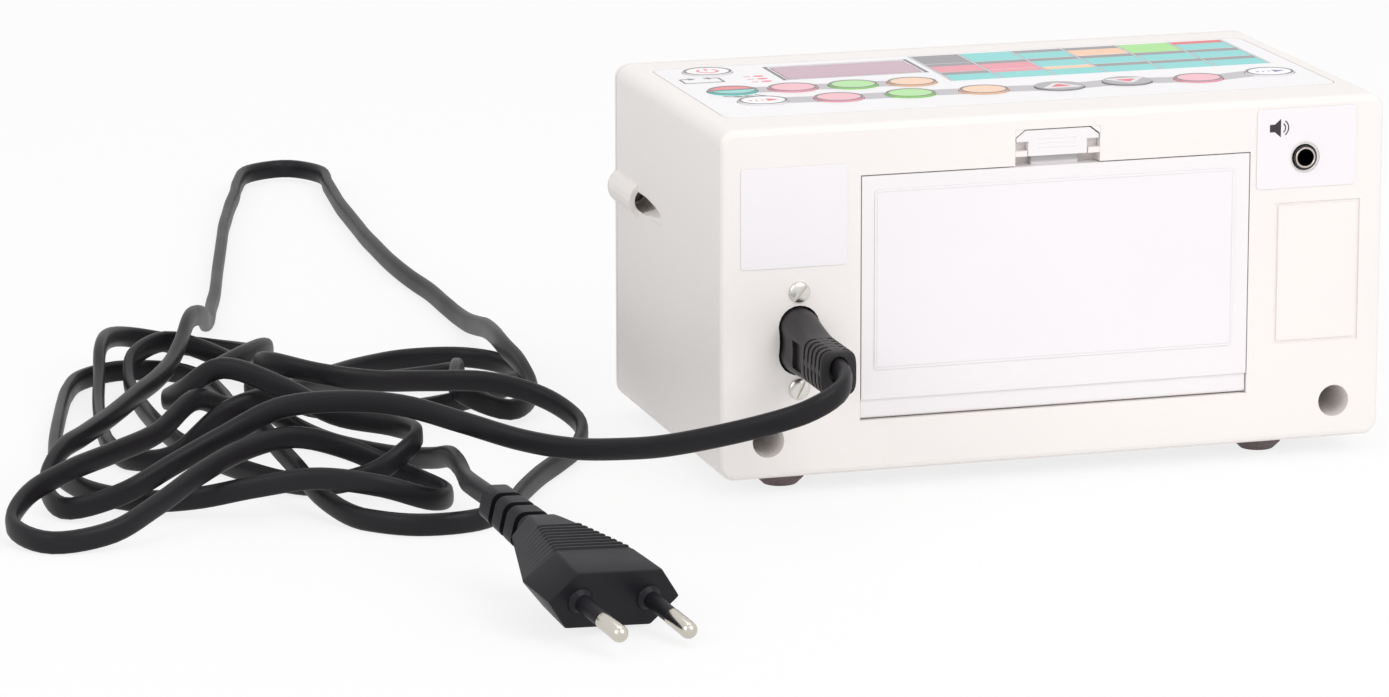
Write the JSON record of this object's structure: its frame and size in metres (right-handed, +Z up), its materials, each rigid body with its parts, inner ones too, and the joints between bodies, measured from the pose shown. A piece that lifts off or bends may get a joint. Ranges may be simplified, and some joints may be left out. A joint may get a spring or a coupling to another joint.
{
  "type": "electronic tanpura",
  "caption": "Box-shaped electronic drone instrument with film keys on top, battery door and sockets at the back, and a detachable flat mains lead.",
  "frame": {"origin": "on the floor under the middle of the box, the mains lead left out", "axes": "+X along the box's long side, to the right in the picture; +Y away from the rear face that the picture shows, towards the loudspeaker face; +Z up"},
  "size_m": [0.3436, 0.539, 0.0909],
  "materials": {
    "shell": "fine satin off-white",
    "door": "smooth satin white",
    "overlay": "printed film, satin",
    "sticker": "glossy white film",
    "window": "tinted clear window",
    "pink_key": "printed film key",
    "green_key": "printed film key",
    "orange_key": "printed film key",
    "split_key": "printed film key, red and teal halves",
    "white_key": "printed film key",
    "black_moulding": "satin black",
    "foot": "dark brown rubber",
    "nickel": "nickel plated",
    "steel": "plated steel",
    "board": "green solder mask",
    "cell": "plain blue sleeve",
    "cone": "dark pressed paper",
    "magnet": "dark ferrite",
    "lead_moulding": "satin dark grey moulding",
    "lead_jacket": "soft sheen near-black jacket"
  },
  "bodies": {
    "case": {"rear_housing": "shell", "front_shell": "shell", "membrane_overlay": "overlay", "display_window": "window", "display_module": "black_moulding", "main_board": "board", "power_board": "board", "speaker_frame": "steel", "speaker_cone": "cone", "speaker_magnet": "magnet", "mains_inlet": "black_moulding", "inlet_pin_upper": "nickel", "inlet_pin_lower": "nickel", "inlet_screw_upper": "nickel", "inlet_screw_lower": "nickel", "aux_jack": "black_moulding", "case_screw_left": "steel", "case_screw_right": "steel", "lug_screw_left": "steel", "lug_screw_right": "steel", "foot_rear_left": "foot", "foot_rear_right": "foot", "foot_front_left": "foot", "foot_front_right": "foot", "side_label": "sticker", "jack_label": "sticker", "battery_cell_1": "cell", "battery_cell_2": "cell", "battery_cell_3": "cell", "battery_cell_4": "cell", "battery_cell_5": "cell", "battery_cell_6": "cell", "contact_top_1": "nickel", "contact_top_2": "nickel", "contact_top_3": "nickel", "contact_bottom_1": "nickel", "contact_bottom_2": "nickel", "contact_bottom_3": "nickel", "contact_bottom_4": "nickel"},
    "door": {"battery_door": "door", "door_label": "sticker"},
    "latch": {"door_latch": "door"},
    "power_button": {"power_key": "white_key"},
    "bank_button": {"bank_key": "split_key"},
    "left_arrow_button": {"left_arrow_key": "white_key"},
    "tempo_up_button": {"tempo_up_key": "pink_key"},
    "tempo_down_button": {"tempo_down_key": "pink_key"},
    "pitch_up_button": {"pitch_up_key": "green_key"},
    "pitch_down_button": {"pitch_down_key": "green_key"},
    "tune_up_button": {"tune_up_key": "orange_key"},
    "tune_down_button": {"tune_down_key": "orange_key"},
    "up_button": {"up_key": "white_key"},
    "down_button": {"down_key": "white_key"},
    "play_button": {"play_key": "pink_key"},
    "right_arrow_button": {"right_arrow_key": "white_key"},
    "lead": {"mains_connector": "lead_moulding", "mains_lead": "lead_jacket", "mains_plug": "lead_moulding", "plug_pin_left": "nickel", "plug_pin_right": "nickel"}
  },
  "joints": [
    {"name": "door_hinge", "type": "hinge", "parent": "case", "child": "door", "pos_m": [0, -0.04648, 0.01855], "axis": [1, 0, 0], "range_deg": [0, 90]},
    {"name": "latch_slide", "type": "slide", "parent": "door", "child": "latch", "axis": [0, 0, -1], "range_m": [0, 0.002], "stiffness_N_per_m": 1200, "springref_m": -0.001},
    {"name": "lead_unplug", "type": "slide", "parent": "case", "child": "lead", "axis": [0, -1, 0], "range_m": [0, 0.016]},
    {"name": "power_press", "type": "slide", "parent": "case", "child": "power_button", "axis": [0, 0, -1], "range_m": [0, 0.00035], "stiffness_N_per_m": 2500, "springref_m": -0.0001},
    {"name": "bank_press", "type": "slide", "parent": "case", "child": "bank_button", "axis": [0, 0, -1], "range_m": [0, 0.00035], "stiffness_N_per_m": 2500, "springref_m": -0.0001},
    {"name": "left_arrow_press", "type": "slide", "parent": "case", "child": "left_arrow_button", "axis": [0, 0, -1], "range_m": [0, 0.00035], "stiffness_N_per_m": 2500, "springref_m": -0.0001},
    {"name": "tempo_up_press", "type": "slide", "parent": "case", "child": "tempo_up_button", "axis": [0, 0, -1], "range_m": [0, 0.00035], "stiffness_N_per_m": 2500, "springref_m": -0.0001},
    {"name": "tempo_down_press", "type": "slide", "parent": "case", "child": "tempo_down_button", "axis": [0, 0, -1], "range_m": [0, 0.00035], "stiffness_N_per_m": 2500, "springref_m": -0.0001},
    {"name": "pitch_up_press", "type": "slide", "parent": "case", "child": "pitch_up_button", "axis": [0, 0, -1], "range_m": [0, 0.00035], "stiffness_N_per_m": 2500, "springref_m": -0.0001},
    {"name": "pitch_down_press", "type": "slide", "parent": "case", "child": "pitch_down_button", "axis": [0, 0, -1], "range_m": [0, 0.00035], "stiffness_N_per_m": 2500, "springref_m": -0.0001},
    {"name": "tune_up_press", "type": "slide", "parent": "case", "child": "tune_up_button", "axis": [0, 0, -1], "range_m": [0, 0.00035], "stiffness_N_per_m": 2500, "springref_m": -0.0001},
    {"name": "tune_down_press", "type": "slide", "parent": "case", "child": "tune_down_button", "axis": [0, 0, -1], "range_m": [0, 0.00035], "stiffness_N_per_m": 2500, "springref_m": -0.0001},
    {"name": "up_press", "type": "slide", "parent": "case", "child": "up_button", "axis": [0, 0, -1], "range_m": [0, 0.00035], "stiffness_N_per_m": 2500, "springref_m": -0.0001},
    {"name": "down_press", "type": "slide", "parent": "case", "child": "down_button", "axis": [0, 0, -1], "range_m": [0, 0.00035], "stiffness_N_per_m": 2500, "springref_m": -0.0001},
    {"name": "play_press", "type": "slide", "parent": "case", "child": "play_button", "axis": [0, 0, -1], "range_m": [0, 0.00035], "stiffness_N_per_m": 2500, "springref_m": -0.0001},
    {"name": "right_arrow_press", "type": "slide", "parent": "case", "child": "right_arrow_button", "axis": [0, 0, -1], "range_m": [0, 0.00035], "stiffness_N_per_m": 2500, "springref_m": -0.0001}
  ]
}
